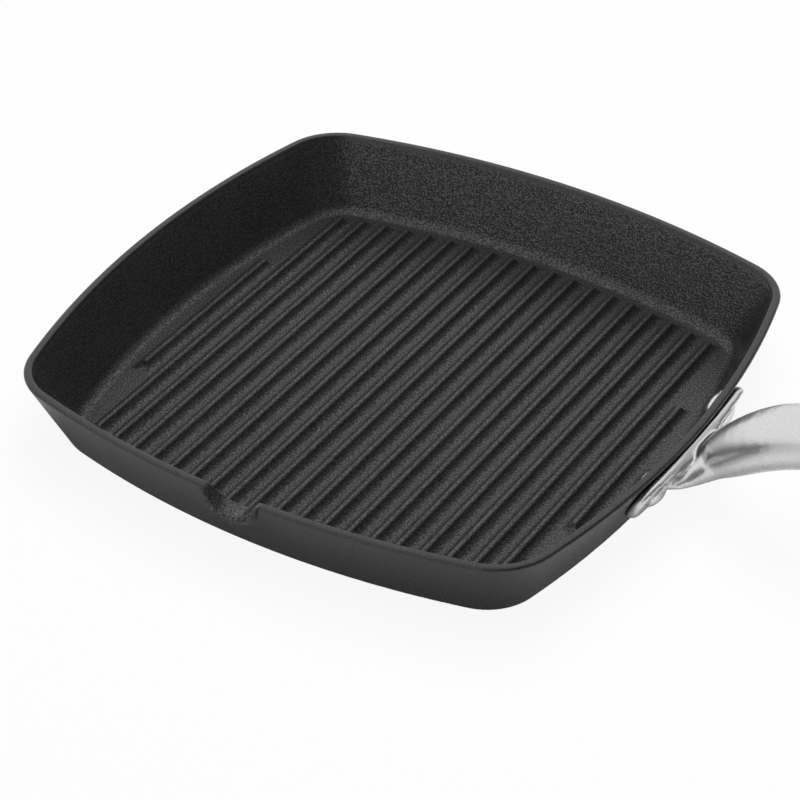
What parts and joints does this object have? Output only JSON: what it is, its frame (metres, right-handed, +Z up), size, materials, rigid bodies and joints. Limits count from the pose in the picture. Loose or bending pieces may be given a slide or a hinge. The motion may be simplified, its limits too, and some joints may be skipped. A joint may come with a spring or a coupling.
{
  "type": "square grill pan",
  "caption": "Square cast-iron grill pan with bowed, flared walls, a ribbed floor, a pouring spout in one side and a riveted, curved stainless handle with a hanging hole.",
  "frame": {"origin": "centre of the pan's flat base, on the surface it stands on", "axes": "+X along the handle, away from the pan; +Z up; the pouring spout is on the -Y side"},
  "size_m": [0.4721, 0.2765, 0.0844],
  "materials": {
    "cast_iron": "matt, fine cast grain",
    "satin_steel": "satin",
    "polished_steel": "polished"
  },
  "bodies": {
    "root": {"pan_body": "cast_iron", "handle_bracket": "satin_steel", "handle_grip": "satin_steel", "handle_end": "satin_steel", "rivet_near": "polished_steel", "rivet_far": "polished_steel"}
  },
  "joints": []
}
